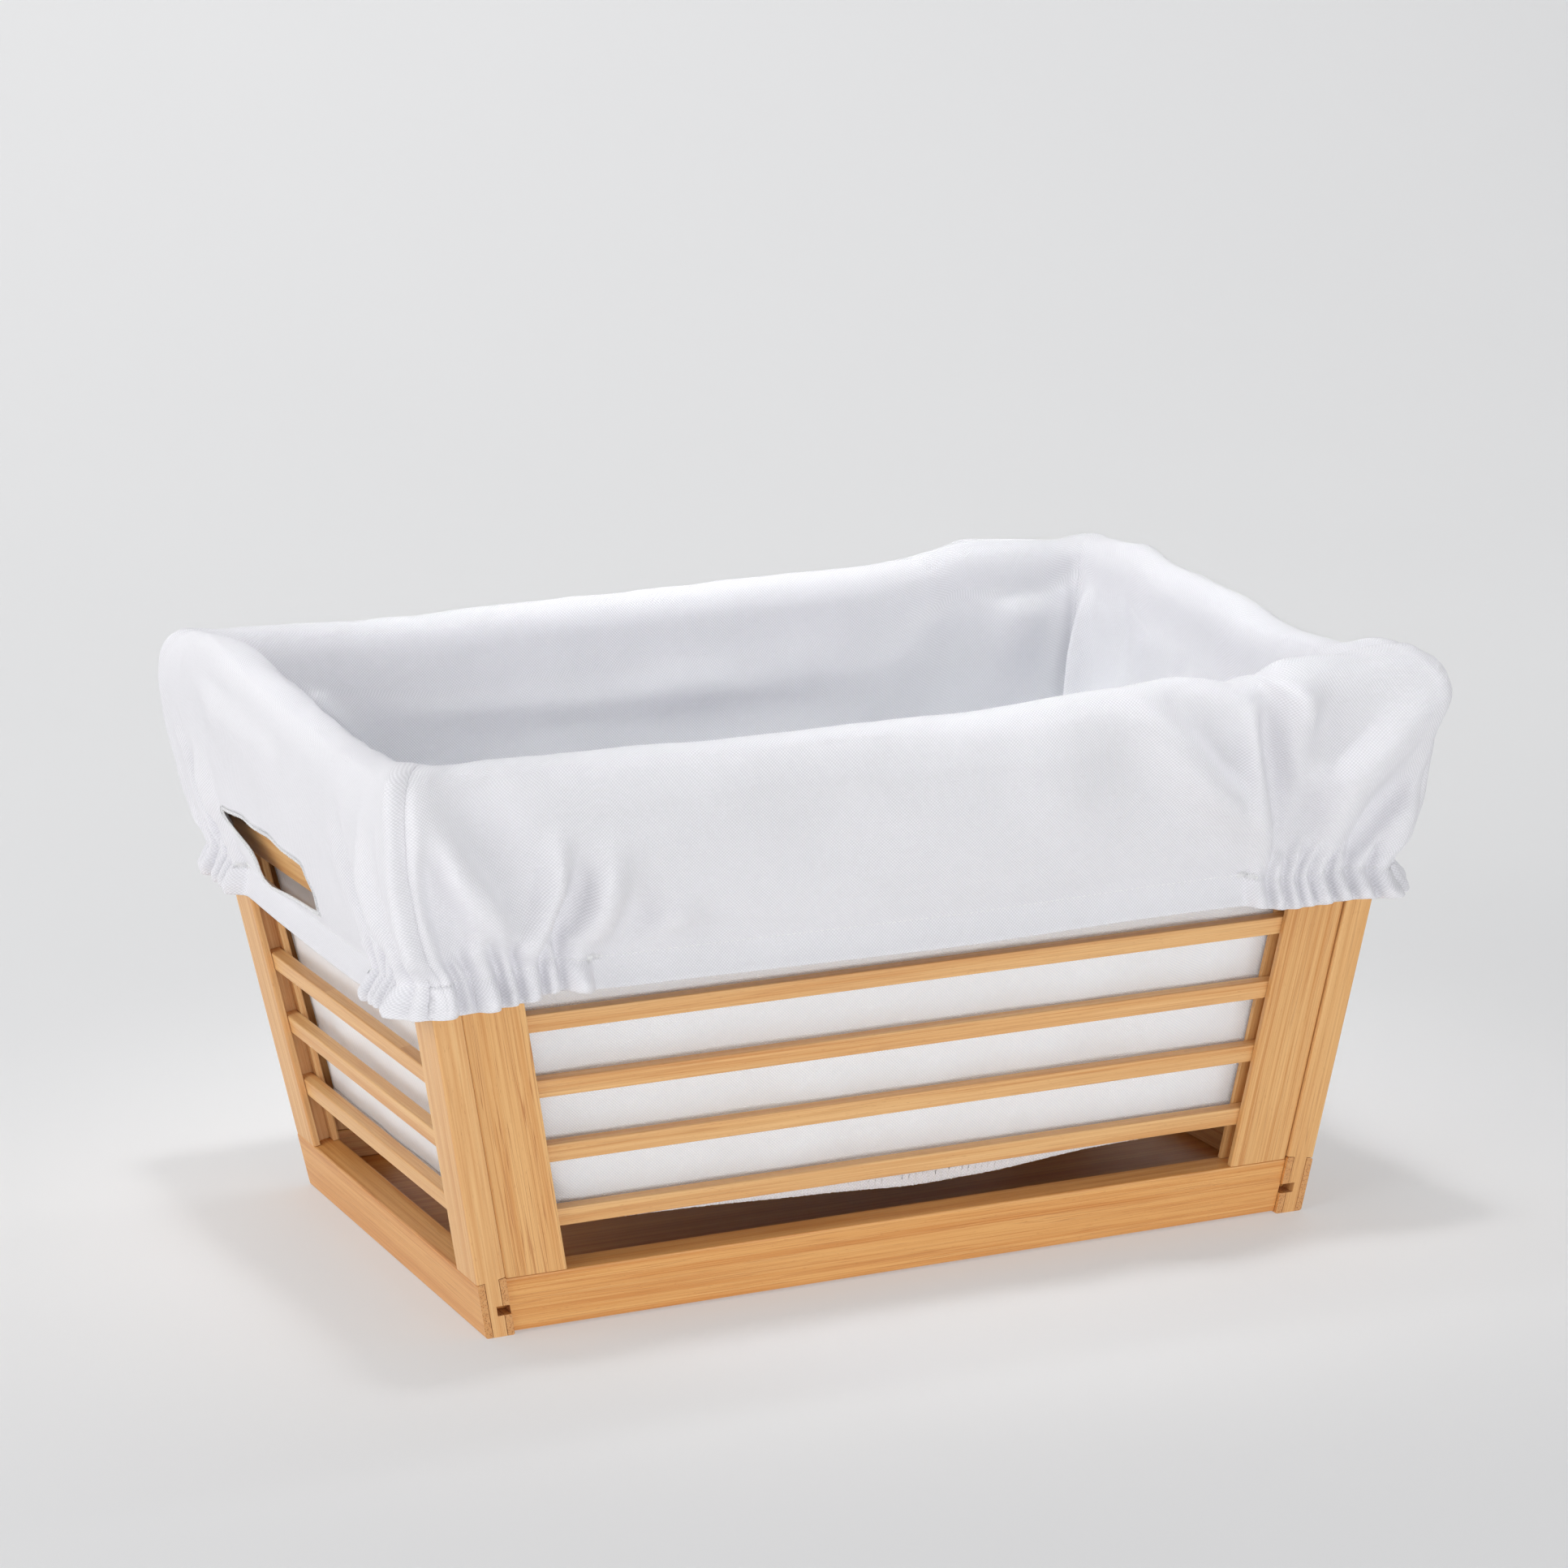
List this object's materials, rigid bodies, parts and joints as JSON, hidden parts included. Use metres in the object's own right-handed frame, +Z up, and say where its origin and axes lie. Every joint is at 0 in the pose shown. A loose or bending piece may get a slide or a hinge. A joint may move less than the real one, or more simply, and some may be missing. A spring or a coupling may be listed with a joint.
{
  "type": "storage basket",
  "caption": "Open rectangular storage basket of slatted bamboo panels with flared sides, hand openings in the ends and a removable white fabric liner turned down over the rim.",
  "frame": {"origin": "middle of the base, on the floor that the basket stands on", "axes": "+X along the long side, +Y across from the front long panel to the back one, +Z up; the end panels with the hand openings face -X and +X"},
  "size_m": [0.5458, 0.373, 0.2886],
  "materials": {
    "frame_wood": "satin clear lacquer on caramel bamboo, fine straight fibres along each bar",
    "slat_wood": "satin clear lacquer on lighter bamboo strips, fibres along each slat",
    "board_wood": "thin bamboo board of edge-glued strips, satin",
    "dowel_wood": "plain hardwood dowel, unfinished",
    "liner_cloth": "white basket-weave cloth, matt, about 1.5 mm weave pitch, fibre not known",
    "elastic_band": "white knitted elastic, matt"
  },
  "bodies": {
    "basket": {"left_front_stile": "frame_wood", "left_back_stile": "frame_wood", "left_bottom_rail": "frame_wood", "left_middle_rail": "frame_wood", "left_grip_rail": "frame_wood", "left_slat_1": "slat_wood", "left_slat_2": "slat_wood", "left_slat_3": "slat_wood", "left_slat_4": "slat_wood", "right_front_stile": "frame_wood", "right_back_stile": "frame_wood", "right_bottom_rail": "frame_wood", "right_middle_rail": "frame_wood", "right_grip_rail": "frame_wood", "right_slat_1": "slat_wood", "right_slat_2": "slat_wood", "right_slat_3": "slat_wood", "right_slat_4": "slat_wood", "front_left_stile": "frame_wood", "front_right_stile": "frame_wood", "front_bottom_rail": "frame_wood", "front_top_rail": "frame_wood", "front_slat_1": "slat_wood", "front_slat_2": "slat_wood", "front_slat_3": "slat_wood", "front_slat_4": "slat_wood", "front_slat_5": "slat_wood", "front_slat_6": "slat_wood", "back_left_stile": "frame_wood", "back_right_stile": "frame_wood", "back_bottom_rail": "frame_wood", "back_top_rail": "frame_wood", "back_slat_1": "slat_wood", "back_slat_2": "slat_wood", "back_slat_3": "slat_wood", "back_slat_4": "slat_wood", "back_slat_5": "slat_wood", "back_slat_6": "slat_wood", "bottom_board": "board_wood", "dowel_front_left_low": "dowel_wood", "dowel_front_left_high": "dowel_wood", "dowel_front_right_low": "dowel_wood", "dowel_front_right_high": "dowel_wood", "dowel_back_left_low": "dowel_wood", "dowel_back_left_high": "dowel_wood", "dowel_back_right_low": "dowel_wood", "dowel_back_right_high": "dowel_wood"},
    "liner": {"bag_front": "liner_cloth", "bag_back": "liner_cloth", "bag_left": "liner_cloth", "bag_right": "liner_cloth", "bag_bottom": "liner_cloth", "skirt_front": "liner_cloth", "skirt_back": "liner_cloth", "skirt_left": "liner_cloth", "skirt_right": "liner_cloth", "elastic_front_left": "elastic_band", "elastic_front_right": "elastic_band", "elastic_back_left": "elastic_band", "elastic_back_right": "elastic_band"}
  },
  "joints": [
    {"name": "liner_lift", "type": "slide", "parent": "basket", "child": "liner", "axis": [0, 0, 1], "range_m": [0, 0.27], "deforming": ["skirt_front", "skirt_back", "skirt_left", "skirt_right", "elastic_front_left", "elastic_front_right", "elastic_back_left", "elastic_back_right"]}
  ]
}
